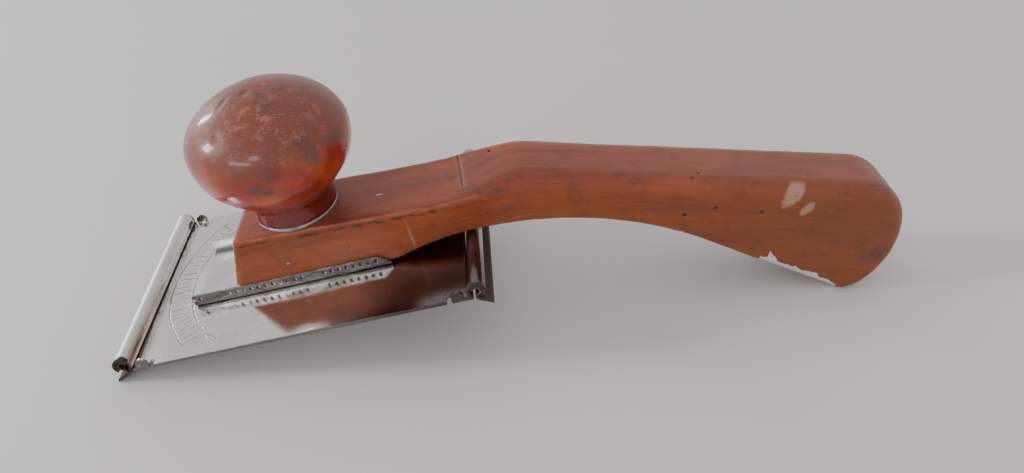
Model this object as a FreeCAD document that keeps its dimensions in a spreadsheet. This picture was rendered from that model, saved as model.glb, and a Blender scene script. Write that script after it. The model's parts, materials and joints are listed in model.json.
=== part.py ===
import FreeCAD, Part

import math
import os

import Sketcher

# Two-handed hook-blade scraper: a wooden grip and knob on a pressed sheet-steel sole plate.
# Every piece is drawn in the frame of the sole plate: X runs from the front blade to the rear
# one, Z is square to the plate, and the origin is on the plate's upper face at its front fold.
# One common placement then lays the tool down as it rests, on the front blade and the butt.

Vector = FreeCAD.Vector
doc = FreeCAD.newDocument("scraper")

DIMENSIONS = {
    "sole_length": 89.8,      # fold to fold
    "sole_width": 63.5,       # the standard 2 1/2 in. blade
    "sheet_gauge": 0.9,
    "roll_radius": 2.5,       # outside of a rolled blade seat
    "roll_centre": 2.2,       # beyond the fold
    "roll_rise": 1.3,         # above the plate's upper face
    "roll_lip_angle": 222.0,  # where the rolled sheet stops
    "fold_wall": 1.2,         # blade slot to fold
    "fold_overlap": 2.0,      # how far a roll's root reaches into the plate
    "ear_width": 3.2,
    "ear_rise": 2.3,
    "ear_start": 1.2,
    "notch_width": 1.3,
    "notch_depth": 2.2,
    "saddle_start": 12.5,
    "saddle_end": 69.1,
    "saddle_rise": 3.9,
    "saddle_fold": 0.8,
    "saddle_cut": 3.2,        # the rear corner cut off each flange, along and down
    "saddle_cut_fall": 2.7,
    "block_width": 22.7,
    "block_start": 24.4,
    "block_end": 71.5,
    "block_lean": 6.4,
    "block_front_top": 17.9,
    "dip_start": 81.6,
    "dip_height": 15.33,
    "dip_end": 94.3,
    "dip_end_height": 16.04,
    "dip_radius": 60.0,
    "hump_start": 102.83,
    "hump_height": 17.34,
    "hump_end": 112.0,
    "hump_end_height": 16.69,
    "hump_radius": 20.0,
    "grip_end": 198.9,
    "grip_end_height": -10.75,
    "butt_reach": 209.5,
    "butt_middle": -24.56,
    "butt_top_radius": 14.295,
    "butt_back_radius": 23.65,
    "heel_start": 198.2,
    "heel_height": -44.73,
    "toe_start": 188.94,
    "toe_height": -44.3,
    "toe_radius": 8.0,
    "arch_end": 152.0,
    "arch_top": 94.0,
    "arch_top_height": 4.0,
    "arch_radius": 96.4,
    "throat_radius": 83.2,
    "edge_block": 1.0,        # how far each edge of the wood is rounded
    "edge_corner": 1.8,
    "edge_waist": 1.8,
    "edge_grip": 5.5,
    "edge_butt": 4.5,
    "edge_belly": 2.4,
    "knob_place": 47.0,
    "knob_height": 35.9,
    "knob_radius": 20.9,
    "knob_equator": 21.0,
    "knob_foot_radius": 11.2,
    "knob_rim": 1.0,          # straight edge of the knob's foot
    "knob_foot_hollow": 28.85,
    "knob_neck_radius": 11.1,
    "knob_neck": 3.4,         # heights on the knob, above its foot
    "knob_neck_hollow": 3.0,
    "knob_flare_radius": 11.874,
    "knob_flare": 5.411,
    "knob_bowl_radius": 17.146,
    "knob_bowl": 11.245,
    "knob_bowl_curve": 14.55,
    "knob_shoulder_radius": 16.7,
    "knob_shoulder": 29.8,
    "knob_shoulder_curve": 11.32,
    "knob_crown_radius": 1.0,
    "knob_crown_curve": 27.4,
    "washer_radius": 11.2,
    "washer_gauge": 1.0,
    "screw_radius": 2.4,
    "screw_in_knob": 17.0,
    "wood_screw_radius": 1.9,
    "wood_screw_length": 10.0,
    "wood_screw_spread": 13.0,
    "head_radius": 4.0,
    "head_height": 2.0,
    "head_dome": 9.0,
    "slot_width": 1.0,
    "slot_depth": 0.9,
    "screw_point": 1.5,
    "screw_tip_radius": 0.4,
    "fit_gap": 0.05,          # sliding fit of a screw in wood, and of the block in its saddle
    "bore_gap": 0.4,          # clearance of the knob screw in block and washer
    "sheet_hole_gap": 0.6,    # and in the two sheet pieces
    "wood_hole_gap": 0.3,
    "blade_gauge": 0.6,
    "blade_play": 0.15,
    "hook_bend": 0.6,         # inside of the bend between curl and lip
    "hook_length": 3.5,
    "hook_bevel": 0.6,
    "rest_tilt": 12.006,
}

sheet = doc.addObject("Spreadsheet::Sheet", "dims")
for row, (alias, value) in enumerate(DIMENSIONS.items(), start=1):
    sheet.set("A%d" % row, alias)
    sheet.set("B%d" % row, str(value))
    sheet.setAlias("B%d" % row, alias)
doc.recompute()


def dim(alias):
    """Read one driving dimension back from the sheet."""
    return float(sheet.get(alias))


def new_body(label):
    """Start one sub-part."""
    body = doc.addObject("PartDesign::Body", label)
    body.Label = label
    return body


def new_sketch(body, name, role, offset=0.0):
    """Put a sketch on one of the body's own origin planes, moved along the plane's normal."""
    plane = next(item for item in body.Origin.OriginFeatures if item.Role == role)
    sketch = body.newObject("Sketcher::SketchObject", name)
    sketch.AttachmentSupport = [(plane, "")]
    sketch.MapMode = "FlatFace"
    sketch.AttachmentOffset = FreeCAD.Placement(Vector(0, 0, offset), FreeCAD.Rotation())
    return sketch


def hold(sketch, place, x_text, z_text):
    """Fix a sketch point at two distances that the sheet drives."""
    for kind, text, axis in (("DistanceX", x_text, -2), ("DistanceY", z_text, -1)):
        value = sketch.evalExpression(text)
        if abs(value) < 1e-9:
            sketch.addConstraint(Sketcher.Constraint("PointOnObject", *place, axis))
            continue
        index = sketch.addConstraint(Sketcher.Constraint(kind, -1, 1, *place, value))
        sketch.setExpression("Constraints[%d]" % index, text)


def outline(sketch, corners):
    """Close an outline through its corners.

    A corner is its two distances from the sketch origin and the radius of the arc that leaves
    it, or None where a straight run leaves it. A radius with "-" turns clockwise.
    """
    points = [Vector(sketch.evalExpression(x), sketch.evalExpression(z), 0) for x, z, _ in corners]
    ends = []
    for number, (_, _, radius_text) in enumerate(corners):
        start = points[number]
        end = points[(number + 1) % len(points)]
        if radius_text is None:
            edge = sketch.addGeometry(Part.LineSegment(start, end))
            ends.append(((edge, 1), (edge, 2)))
            continue
        clockwise = radius_text.startswith("-")
        radius_text = radius_text.lstrip("-")
        radius = sketch.evalExpression(radius_text)
        chord = end - start
        middle = start + chord * 0.5
        side = Vector(chord.y, -chord.x, 0).normalize() * (-1 if clockwise else 1)
        bulge = radius - math.sqrt(max(radius ** 2 - (chord.Length / 2) ** 2, 0.0))
        edge = sketch.addGeometry(Part.Arc(start, middle + side * bulge, end))
        ends.append(((edge, 2), (edge, 1)) if clockwise else ((edge, 1), (edge, 2)))
        if abs(radius - chord.Length / 2) > 1e-6:
            index = sketch.addConstraint(Sketcher.Constraint("Radius", edge, radius))
            sketch.setExpression("Constraints[%d]" % index, radius_text)
    for number, (x_text, z_text, _) in enumerate(corners):
        previous_end = ends[number - 1][1]
        this_start = ends[number][0]
        sketch.addConstraint(Sketcher.Constraint("Coincident", *previous_end, *this_start))
        hold(sketch, this_start, x_text, z_text)


def circle(sketch, x_text, y_text, radius_text):
    """Draw a circle held by its centre and radius."""
    centre = Vector(sketch.evalExpression(x_text), sketch.evalExpression(y_text), 0)
    radius = sketch.evalExpression(radius_text)
    edge = sketch.addGeometry(Part.Circle(centre, Vector(0, 0, 1), radius))
    hold(sketch, (edge, 3), x_text, y_text)
    index = sketch.addConstraint(Sketcher.Constraint("Radius", edge, radius))
    sketch.setExpression("Constraints[%d]" % index, radius_text)


def pad(body, sketch, length_text, midplane=False, reverse=False):
    """Give a sketch its thickness."""
    feature = body.newObject("PartDesign::Pad", sketch.Name + "_pad")
    feature.Profile = sketch
    feature.setExpression("Length", length_text)
    feature.Midplane = midplane
    feature.Reversed = reverse
    sketch.Visibility = False
    return feature


def pocket(body, sketch, length_text, midplane=False, reverse=False):
    """Cut a sketch out of the body, and make sure that it really cuts."""
    doc.recompute()
    before = body.Shape.Volume
    feature = body.newObject("PartDesign::Pocket", sketch.Name + "_cut")
    feature.Profile = sketch
    feature.setExpression("Length", length_text)
    feature.Midplane = midplane
    feature.Reversed = reverse
    doc.recompute()
    if body.Shape.Volume >= before:
        raise ValueError(sketch.Name + " cuts nothing")
    return feature


def rectangle(sketch, x_low, x_high, y_low, y_high):
    """Draw a rectangle between four sheet expressions."""
    outline(sketch, [(x_low, y_low, None), (x_high, y_low, None),
                     (x_high, y_high, None), (x_low, y_high, None)])


# The block's top falls a little toward the rear, and the knob stands square to it.
BLOCK_TOP_X = dim("block_start") + dim("block_lean")
TOP_FALL = math.degrees(math.atan2(dim("block_front_top") - dim("dip_height"),
                                   dim("dip_start") - BLOCK_TOP_X))
KNOB_SEAT = Vector(dim("knob_place"), 0,
                   dim("block_front_top")
                   - (dim("knob_place") - BLOCK_TOP_X) * math.tan(math.radians(TOP_FALL)))
KNOB_TURN = FreeCAD.Placement(KNOB_SEAT, FreeCAD.Rotation(Vector(0, 1, 0), TOP_FALL))
SCREW_SHIFT = "(%.4f)" % (KNOB_SEAT.z * math.tan(math.radians(TOP_FALL)))
KNOB_HOLE_X = "dims.knob_place - " + SCREW_SHIFT
WOOD_SCREW_XS = ["dims.knob_place - dims.wood_screw_spread",
                 "dims.knob_place + dims.wood_screw_spread"]


def screw_holes(body, plane_offset, depth_text, wood_hole_radius):
    """Drill the knob screw's hole and the two wood screws' holes upward."""
    holes = new_sketch(body, body.Label + "_screw_holes", "XY_Plane", plane_offset)
    circle(holes, KNOB_HOLE_X, "0", "dims.screw_radius + dims.sheet_hole_gap")
    for x_text in WOOD_SCREW_XS:
        circle(holes, x_text, "0", wood_hole_radius)
    pocket(body, holes, depth_text, reverse=True)


def seat_roll(body, name, fold, away):
    """Roll one end of the plate up, over and down into an open tube for a blade."""
    turn, back = ("", "-") if away == "-" else ("-", "")
    inner = "(dims.roll_radius - dims.sheet_gauge)"

    def out(text):
        return "%s %s (%s)" % (fold, away, text)

    section = new_sketch(body, name, "XZ_Plane")
    outline(section, [
        (out("-dims.fold_overlap"), "0", None),
        (out("dims.roll_centre - sqrt(dims.roll_radius ^ 2 - dims.roll_rise ^ 2)"), "0",
         turn + "dims.roll_radius"),
        (out("dims.roll_centre"), "dims.roll_rise + dims.roll_radius", turn + "dims.roll_radius"),
        (out("dims.roll_centre - dims.roll_radius * cos(dims.roll_lip_angle)"),
         "dims.roll_rise + dims.roll_radius * sin(dims.roll_lip_angle)", None),
        (out("dims.roll_centre - %s * cos(dims.roll_lip_angle)" % inner),
         "dims.roll_rise + %s * sin(dims.roll_lip_angle)" % inner, back + inner),
        (out("dims.roll_centre"), "dims.roll_rise + %s" % inner, back + inner),
        (out("dims.fold_wall"),
         "dims.roll_rise - sqrt(%s ^ 2 - (dims.roll_centre - dims.fold_wall) ^ 2)" % inner, None),
        (out("dims.fold_wall"), "-dims.sheet_gauge", None),
        (out("-dims.fold_overlap"), "-dims.sheet_gauge", None),
    ])
    pad(body, section, "dims.sole_width", midplane=True)


def make_sole_plate():
    """Nickel-plated sheet steel, folded up at both ends, with four ears on its sides."""
    body = new_body("sole_plate")
    blank = new_sketch(body, "sole_blank", "XY_Plane")
    rectangle(blank, "0", "dims.sole_length", "-dims.sole_width / 2", "dims.sole_width / 2")
    pad(body, blank, "dims.sheet_gauge", reverse=True)
    seat_roll(body, "front_roll", "0", "-")
    seat_roll(body, "rear_roll", "dims.sole_length", "+")

    ear_end = "dims.ear_start + dims.ear_width"
    ear_shoulder = "dims.ear_rise - dims.ear_width / 2"
    notch_end = ear_end + " + dims.notch_width"
    for side, side_name in ((-1, "near"), (1, "far")):
        for fold, sign, end_name in (("0", "+", "front"), ("dims.sole_length", "-", "rear")):
            edges = ["%s %s (%s)" % (fold, sign, text) for text in ("dims.ear_start", ear_end)]
            low, high = edges if sign == "+" else edges[::-1]
            ear = new_sketch(body, "ear_%s_%s" % (side_name, end_name), "XZ_Plane",
                             -side * dim("sole_width") / 2)
            outline(ear, [(low, "-dims.sheet_gauge", None), (high, "-dims.sheet_gauge", None),
                          (high, ear_shoulder, "dims.ear_width / 2"), (low, ear_shoulder, None)])
            pad(body, ear, "dims.sheet_gauge", reverse=side < 0)

            edges = ["%s %s (%s)" % (fold, sign, text) for text in (ear_end, notch_end)]
            low, high = edges if sign == "+" else edges[::-1]
            rim = "dims.sole_width / 2"
            inside = "dims.sole_width / 2 - dims.notch_depth"
            notch = new_sketch(body, "notch_%s_%s" % (side_name, end_name), "XY_Plane")
            if side > 0:
                rectangle(notch, low, high, inside, rim)
            else:
                rectangle(notch, low, high, "-(%s)" % rim, "-(%s)" % inside)
            pocket(body, notch, "dims.sheet_gauge")
    screw_holes(body, -dim("sheet_gauge"), "dims.sheet_gauge", "dims.wood_screw_radius + dims.wood_hole_gap")
    return body


def make_handle_saddle():
    """A pressed channel between plate and block, whose flanges grip the block's sides."""
    body = new_body("handle_saddle")
    inner = "(dims.block_width / 2 + dims.fit_gap)"
    outer = "(dims.block_width / 2 + dims.fit_gap + dims.sheet_gauge)"
    section = new_sketch(body, "saddle_section", "YZ_Plane", dim("saddle_start"))
    outline(section, [
        ("-" + outer, "0", None), (outer, "0", None),
        (outer, "dims.saddle_rise", None), (inner, "dims.saddle_rise", None),
        (inner, "dims.sheet_gauge", None), ("-" + inner, "dims.sheet_gauge", None),
        ("-" + inner, "dims.saddle_rise", None), ("-" + outer, "dims.saddle_rise", None),
    ])
    channel = pad(body, section, "dims.saddle_end - dims.saddle_start")
    doc.recompute()
    folds = body.newObject("PartDesign::Fillet", "saddle_folds")
    folds.Base = (channel, long_edges(channel.Shape, 0.0))
    folds.setExpression("Radius", "dims.saddle_fold")
    corner = new_sketch(body, "saddle_corner", "XZ_Plane")
    outline(corner, [
        ("dims.saddle_end - dims.saddle_cut", "dims.saddle_rise", None),
        ("dims.saddle_end", "dims.saddle_rise - dims.saddle_cut_fall", None),
        ("dims.saddle_end", "dims.saddle_rise", None),
    ])
    pocket(body, corner, "dims.block_width * 2", midplane=True)
    screw_holes(body, 0.0, "dims.sheet_gauge", "dims.wood_screw_radius + dims.wood_hole_gap")
    return body


def long_edges(shape, height):
    """Name the lengthwise outer edges of a channel that lie at one height."""
    names = []
    for number, edge in enumerate(shape.Edges, start=1):
        box = edge.BoundBox
        if box.XLength > 20 and box.ZLength < 1e-6 and abs(box.ZMin - height) < 1e-6:
            names.append("Edge%d" % number)
    return names


HANDLE_CORNERS = [
    # along, up, arc that leaves the corner, rounding of the side edges at the corner
    ("dims.block_start", "dims.sheet_gauge", None, "edge_corner"),
    ("dims.block_end", "dims.sheet_gauge", "-dims.throat_radius", "edge_block"),
    ("dims.arch_top", "dims.arch_top_height", "-dims.arch_radius", "edge_belly"),
    ("dims.arch_end",
     "dims.arch_top_height - dims.arch_radius"
     " + sqrt(dims.arch_radius ^ 2 - (dims.arch_end - dims.arch_top) ^ 2)", None, "edge_belly"),
    ("dims.toe_start", "dims.toe_height", "dims.toe_radius", "edge_belly"),
    ("dims.heel_start", "dims.heel_height", "dims.butt_back_radius", "edge_belly"),
    ("dims.butt_reach", "dims.butt_middle", "dims.butt_top_radius", "edge_butt"),
    ("dims.grip_end", "dims.grip_end_height", None, "edge_grip"),
    ("dims.hump_end", "dims.hump_end_height", "dims.hump_radius", "edge_grip"),
    ("dims.hump_start", "dims.hump_height", None, "edge_butt"),
    ("dims.dip_end", "dims.dip_end_height", "-dims.dip_radius", "edge_waist"),
    ("dims.dip_start", "dims.dip_height", None, "edge_block"),
    ("dims.block_start + dims.block_lean", "dims.block_front_top", None, "edge_block"),
]


def rounding_at(point, blank):
    """Return the rounding that belongs to the outline corner at a point, or None."""
    for x_text, z_text, _, edge_name in HANDLE_CORNERS:
        corner = Vector(blank.evalExpression(x_text), point.y, blank.evalExpression(z_text))
        if point.distanceToPoint(corner) < 0.02:
            return dim(edge_name)
    return None


def make_handle():
    """One piece of hardwood: block, waist, humped grip and butt, its edges worn round."""
    blank = new_body("handle_blank")
    side = new_sketch(blank, "handle_side", "XZ_Plane")
    outline(side, [corner[:3] for corner in HANDLE_CORNERS])
    pad(blank, side, "dims.block_width", midplane=True)
    pilots = new_sketch(blank, "wood_screw_pilots", "XY_Plane")
    for x_text in WOOD_SCREW_XS:
        circle(pilots, x_text, "0", "dims.wood_screw_radius + dims.fit_gap")
    pocket(blank, pilots, "dims.wood_screw_length + dims.screw_point", reverse=True)
    doc.recompute()

    rounded = doc.addObject("Part::Fillet", "handle_rounded")
    rounded.Base = blank
    edges = []
    for number, edge in enumerate(blank.Shape.Edges, start=1):
        first, last = edge.Vertexes[0], edge.Vertexes[-1]
        starts = rounding_at(first.Point, blank)
        ends = rounding_at(last.Point, blank)
        if starts is None or ends is None or edge.BoundBox.YLength > 1e-6:
            continue
        middle = edge.CenterOfMass
        if middle.z < dim("sheet_gauge") + 0.1 and middle.x < dim("block_end"):
            continue
        if middle.x < BLOCK_TOP_X and middle.z < dim("block_front_top") - 1:
            starts = ends = dim("edge_block")
        edges.append((number, starts, ends))
    rounded.Edges = edges
    blank.Visibility = False

    bore = doc.addObject("Part::Cylinder", "knob_screw_bore")
    bore.setExpression("Radius", "dims.screw_radius + dims.bore_gap")
    bore.setExpression("Height", "dims.knob_height * 2")
    bore_start = Vector(0, 0, -dim("knob_height"))
    bore.Placement = KNOB_TURN * FreeCAD.Placement(bore_start, FreeCAD.Rotation())
    handle = doc.addObject("Part::Cut", "handle")
    handle.Base = rounded
    handle.Tool = bore
    handle.Label = "handle"
    return handle


def turned(body, name, corners):
    """Turn an outline about the body's own Z axis."""
    section = new_sketch(body, name, "XZ_Plane")
    outline(section, corners)
    feature = body.newObject("PartDesign::Revolution", name + "_turned")
    feature.Profile = section
    feature.ReferenceAxis = (section, ["V_Axis"])
    feature.Angle = 360
    section.Visibility = False
    return body


def make_knob():
    """A turned hardwood knob with a flared foot, bored for its screw."""
    bore = "dims.screw_radius + dims.fit_gap"
    return turned(new_body("knob"), "knob_outline", [
        (bore, "0", None),
        ("dims.knob_foot_radius", "0", None),
        ("dims.knob_foot_radius", "dims.knob_rim", "-dims.knob_foot_hollow"),
        ("dims.knob_neck_radius", "dims.knob_neck", "-dims.knob_neck_hollow"),
        ("dims.knob_flare_radius", "dims.knob_flare", None),
        ("dims.knob_bowl_radius", "dims.knob_bowl", "dims.knob_bowl_curve"),
        ("dims.knob_radius", "dims.knob_equator", "dims.knob_shoulder_curve"),
        ("dims.knob_shoulder_radius", "dims.knob_shoulder", "dims.knob_crown_curve"),
        ("dims.knob_crown_radius", "dims.knob_height", None),
        ("0", "dims.knob_height", None),
        ("0", "dims.screw_in_knob + 1", None),
        (bore, "dims.screw_in_knob + 1", None),
    ])


def make_knob_washer():
    """A thin steel ring between the knob's foot and the block."""
    return turned(new_body("knob_washer"), "washer_outline", [
        ("dims.screw_radius + dims.bore_gap", "0", None),
        ("dims.washer_radius", "0", None),
        ("dims.washer_radius", "dims.washer_gauge", None),
        ("dims.screw_radius + dims.bore_gap", "dims.washer_gauge", None),
    ])


def screw_outline(radius_text, tip_text):
    """Outline a pan-head screw that points up, with its head's face at height zero."""
    return [
        ("0", "-dims.head_height", "dims.head_dome"),
        ("dims.head_radius", "-dims.head_height / 2", None),
        ("dims.head_radius", "0", None),
        (radius_text, "0", None),
        (radius_text, tip_text + " - dims.screw_point", None),
        ("dims.screw_tip_radius", tip_text, None),
        ("0", tip_text, None),
    ]


def slot_head(body):
    """Cut the driver slot across a screw's head."""
    slot = new_sketch(body, body.Name + "_slot", "XY_Plane", -dim("head_height") - dim("fit_gap"))
    rectangle(slot, "-dims.slot_width / 2", "dims.slot_width / 2",
              "-dims.head_radius * 2", "dims.head_radius * 2")
    pocket(body, slot, "dims.slot_depth + dims.fit_gap", reverse=True)


def make_knob_screw(head_drop):
    """The long screw that ties plate, saddle, block, washer and knob together."""
    body = new_body("knob_screw")
    reach = "%.3f + dims.washer_gauge + dims.screw_in_knob" % head_drop
    turned(body, "knob_screw_outline", screw_outline("dims.screw_radius", reach))
    slot_head(body)
    return body


def make_plate_screws():
    """Two wood screws that hold plate and saddle to the block: one body, copied along."""
    body = new_body("plate_screw")
    turned(body, "plate_screw_outline",
           screw_outline("dims.wood_screw_radius", "dims.sheet_gauge * 2 + dims.wood_screw_length"))
    slot_head(body)
    doc.recompute()
    copies = []
    for x_text in WOOD_SCREW_XS:
        place = Vector(body.evalExpression(x_text), 0, -dim("sheet_gauge"))
        copies.append(body.Shape.copy())
        copies[-1].Placement = FreeCAD.Placement(place, FreeCAD.Rotation())
    group = doc.addObject("Part::Feature", "plate_screws")
    group.Label = "plate_screws"
    group.Shape = Part.makeCompound(copies)
    return group


def make_blade(label, fold, away):
    """A strip of tool steel, curled into the seat, with a bevelled lip that flares outward."""
    body = new_body(label)
    turn, back = ("", "-") if away == "-" else ("-", "")
    curl_out = "(dims.roll_radius - dims.sheet_gauge - dims.blade_play)"
    curl_in = "(%s - dims.blade_gauge)" % curl_out
    bend_in = "dims.hook_bend"
    bend_out = "(dims.hook_bend + dims.blade_gauge)"
    tip = "dims.hook_length"
    edge = "(dims.hook_length + dims.hook_bevel)"
    # angles on the curl where it starts, is halfway and leaves off, and the lip's own slope
    open_at, halfway, leave, lip = 20, 135, 250, 30

    def out(text):
        return "%s %s (%s)" % (fold, away, text)

    def on_curl(radius, angle):
        return (out("dims.roll_centre - %s * cos(%s)" % (radius, angle)),
                "dims.roll_rise + %s * sin(%s)" % (radius, angle))

    # the lip's bend turns about a point outside the curl, in line with where the curl leaves off
    centre_x = "(dims.roll_centre - (%s + %s) * cos(%s))" % (curl_out, bend_in, leave)
    centre_z = "(dims.roll_rise + (%s + %s) * sin(%s))" % (curl_out, bend_in, leave)

    def on_bend(radius):
        return (out("%s - %s * sin(%s)" % (centre_x, radius, lip)),
                "%s - %s * cos(%s)" % (centre_z, radius, lip))

    def on_lip(radius, length):
        return (out("%s - %s * sin(%s) + %s * cos(%s)" % (centre_x, radius, lip, length, lip)),
                "%s - %s * cos(%s) - %s * sin(%s)" % (centre_z, radius, lip, length, lip))

    section = new_sketch(body, label + "_section", "XZ_Plane")
    outline(section, [
        (*on_curl(curl_out, open_at), turn + curl_out),
        (*on_curl(curl_out, halfway), turn + curl_out),
        (*on_curl(curl_out, leave), back + bend_in),
        (*on_bend(bend_in), None),
        (*on_lip(bend_in, tip), None),
        (*on_lip(bend_out, edge), None),
        (*on_bend(bend_out), turn + bend_out),
        (*on_curl(curl_in, leave), back + curl_in),
        (*on_curl(curl_in, halfway), back + curl_in),
        (*on_curl(curl_in, open_at), None),
    ])
    pad(body, section, "dims.sole_width", midplane=True)
    return body


sole_plate = make_sole_plate()
handle_saddle = make_handle_saddle()
handle = make_handle()
knob = make_knob()
knob_washer = make_knob_washer()
# the tilted screw head is let down until its high side just clears the plate
head_tip = dim("head_radius") * math.sin(math.radians(TOP_FALL)) + 0.02
head_drop = (KNOB_SEAT.z + dim("sheet_gauge") + head_tip) / math.cos(math.radians(TOP_FALL))
knob_screw = make_knob_screw(head_drop)
plate_screws = make_plate_screws()
front_blade = make_blade("front_blade", "0", "-")
rear_blade = make_blade("rear_blade", "dims.sole_length", "+")
doc.recompute()


def along_knob(distance):
    """Place something on the knob's axis, a distance above the block."""
    return KNOB_TURN * FreeCAD.Placement(Vector(0, 0, distance), FreeCAD.Rotation())


own_places = {
    sole_plate: FreeCAD.Placement(),
    handle_saddle: FreeCAD.Placement(),
    handle: FreeCAD.Placement(),
    knob: along_knob(dim("washer_gauge")),
    knob_washer: along_knob(0),
    knob_screw: along_knob(-head_drop),
    plate_screws: FreeCAD.Placement(),
    front_blade: FreeCAD.Placement(),
    rear_blade: FreeCAD.Placement(),
}


def box_at(place, pieces):
    """Measure the pieces' common box once a placement is applied to them."""
    whole = FreeCAD.BoundBox()
    for piece in pieces:
        shape = piece.Shape.copy()
        shape.Placement = place * own_places[piece]
        whole.add(shape.optimalBoundingBox(False, True))
    return whole


# Lay the tool down: tilted about Y, its lowest edges on the ground, its box centred on X.
tilted = FreeCAD.Placement(Vector(), FreeCAD.Rotation(Vector(0, 1, 0), -dim("rest_tilt")))
butt_low = box_at(tilted, [handle]).ZMin
lip_low = box_at(tilted, [front_blade]).ZMin
if abs(butt_low - lip_low) > 0.02:
    raise ValueError("butt and front lip do not rest level: %.3f, %.3f" % (butt_low, lip_low))
whole_box = box_at(tilted, own_places)
REST = FreeCAD.Placement(Vector(-whole_box.Center.x, 0, -whole_box.ZMin), tilted.Rotation)
for piece, own_place in own_places.items():
    piece.Placement = REST * own_place
doc.recompute()

for item in doc.Objects:
    if "Invalid" in item.State or "Error" in item.State:
        raise ValueError("%s failed: %s" % (item.Name, item.State))
for piece in own_places:
    if piece.Shape.isNull() or not piece.Shape.isValid():
        raise ValueError(piece.Label + " is not a valid solid")

os.makedirs("parts", exist_ok=True)
for piece in own_places:
    piece.Shape.exportStep("parts/%s.step" % piece.Label)
    box = piece.Shape.optimalBoundingBox(False, True)
    print("%-14s solids %d  volume %8.1f  X %7.2f %7.2f  Y %7.2f %7.2f  Z %7.2f %7.2f" % (
        piece.Label, len(piece.Shape.Solids), piece.Shape.Volume,
        box.XMin, box.XMax, box.YMin, box.YMax, box.ZMin, box.ZMax))
print("block top falls %.3f deg, shift X %.3f Z %.3f" % (TOP_FALL, REST.Base.x, REST.Base.z))
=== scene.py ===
import json
import math

import bpy
import numpy as np
from mathutils import Euler, Matrix, Vector


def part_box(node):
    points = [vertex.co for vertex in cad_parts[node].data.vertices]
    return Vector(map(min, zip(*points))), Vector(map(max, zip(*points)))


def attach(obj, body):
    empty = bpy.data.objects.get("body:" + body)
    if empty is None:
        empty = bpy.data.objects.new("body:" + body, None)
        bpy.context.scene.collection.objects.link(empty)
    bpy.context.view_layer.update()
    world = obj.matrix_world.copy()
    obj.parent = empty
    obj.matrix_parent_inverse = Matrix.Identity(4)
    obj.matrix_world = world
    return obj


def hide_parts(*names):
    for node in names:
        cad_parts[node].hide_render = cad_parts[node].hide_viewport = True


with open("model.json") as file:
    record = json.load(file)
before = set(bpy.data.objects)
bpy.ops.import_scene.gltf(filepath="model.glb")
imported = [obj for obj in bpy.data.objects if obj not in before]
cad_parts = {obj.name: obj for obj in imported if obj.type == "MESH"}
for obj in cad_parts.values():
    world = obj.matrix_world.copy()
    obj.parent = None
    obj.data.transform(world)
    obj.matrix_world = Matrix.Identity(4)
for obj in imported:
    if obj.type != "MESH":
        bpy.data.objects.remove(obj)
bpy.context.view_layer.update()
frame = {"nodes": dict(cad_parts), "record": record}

bpy.ops.object.select_all(action="DESELECT")


# Camera
# It stands before the tool's near side, a little to its left, and looks down at it.
AZIMUTH, ELEVATION, ROLL = math.radians(-3.36), math.radians(38.0), math.radians(-0.76)
camera_data = bpy.data.cameras.new("camera")
camera_data.sensor_width = 36.0
camera_data.lens = 27.07
camera = bpy.data.objects.new("camera", camera_data)
bpy.context.scene.collection.objects.link(camera)
camera.location = (-0.01227, -0.1741, 0.1536)
camera.rotation_euler = Euler((math.pi / 2 - ELEVATION, 0.0, AZIMUTH), "XYZ")
camera.rotation_euler.rotate_axis("Z", ROLL)
bpy.context.scene.camera = camera


# Sole plate
# Pressed sheet steel, nickel plated and worn. Both ends are rolled up into open tubes that hold
# the blades, and a small lug stands at each corner beside a sawn notch.
# The tool is drawn in millimetres in the plate's own frame: X from the front fold to the rear
# one, Z square to the plate, zero on its upper face. The two seats say where that frame lies.
MM = 0.001
ROLL_OUT, ROLL_RISE = 2.2, 1.3      # a tube's centre, beyond its fold and above the plate
ROLL_RADIUS, SHEET = 2.5, 0.9
ROLL_END = 222                      # degrees round the tube at which the sheet stops
SLOT_START = 1.2                    # from the fold to the slot that the blade's lip leaves by
EAR_START, EAR_WIDTH, EAR_RISE = 1.2, 3.2, 2.3
NOTCH_WIDTH, NOTCH_DEPTH = 1.3, 2.2

seats = {mount["name"]: Vector(mount["pos_m"]) for mount in frame["record"]["mounts"]}
front_seat, rear_seat = seats["front_blade_seat"], seats["rear_blade_seat"]
TILT = math.atan2(rear_seat.z - front_seat.z, rear_seat.x - front_seat.x)
SOLE_LENGTH = (rear_seat - front_seat).length / MM - 2 * ROLL_OUT
HALF_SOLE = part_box("sole_plate")[1].y / MM
tool_frame = (Matrix.Translation(front_seat) @ Matrix.Rotation(-TILT, 4, "Y")
              @ Matrix.Scale(MM, 4) @ Matrix.Translation((ROLL_OUT, 0, -ROLL_RISE)))


def arc(centre, radius, start, end, steps):
    """Points along an arc, both ends included, with its angles in degrees."""
    angles = [math.radians(start + (end - start) * step / steps) for step in range(steps + 1)]
    return [(centre[0] + radius * math.cos(a), centre[1] + radius * math.sin(a)) for a in angles]


def draw_outline(name, points):
    """Run one vertex round an outline in the tool's side plane, close it and fill it."""
    bpy.ops.object.select_all(action="DESELECT")
    bpy.ops.mesh.primitive_plane_add(size=1)
    piece = bpy.context.object
    piece.name = piece.data.name = name
    bpy.ops.object.mode_set(mode="EDIT")
    bpy.ops.mesh.select_mode(type="VERT")
    bpy.ops.mesh.merge(type="CENTER")
    bpy.ops.transform.translate(value=(points[0][0], 0, points[0][1]))
    for here, there in zip(points, points[1:]):
        step = (there[0] - here[0], 0, there[1] - here[1])
        bpy.ops.mesh.extrude_vertices_move(TRANSFORM_OT_translate={"value": step})
    bpy.ops.mesh.select_all(action="SELECT")
    bpy.ops.mesh.edge_face_add()
    return piece


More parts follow.
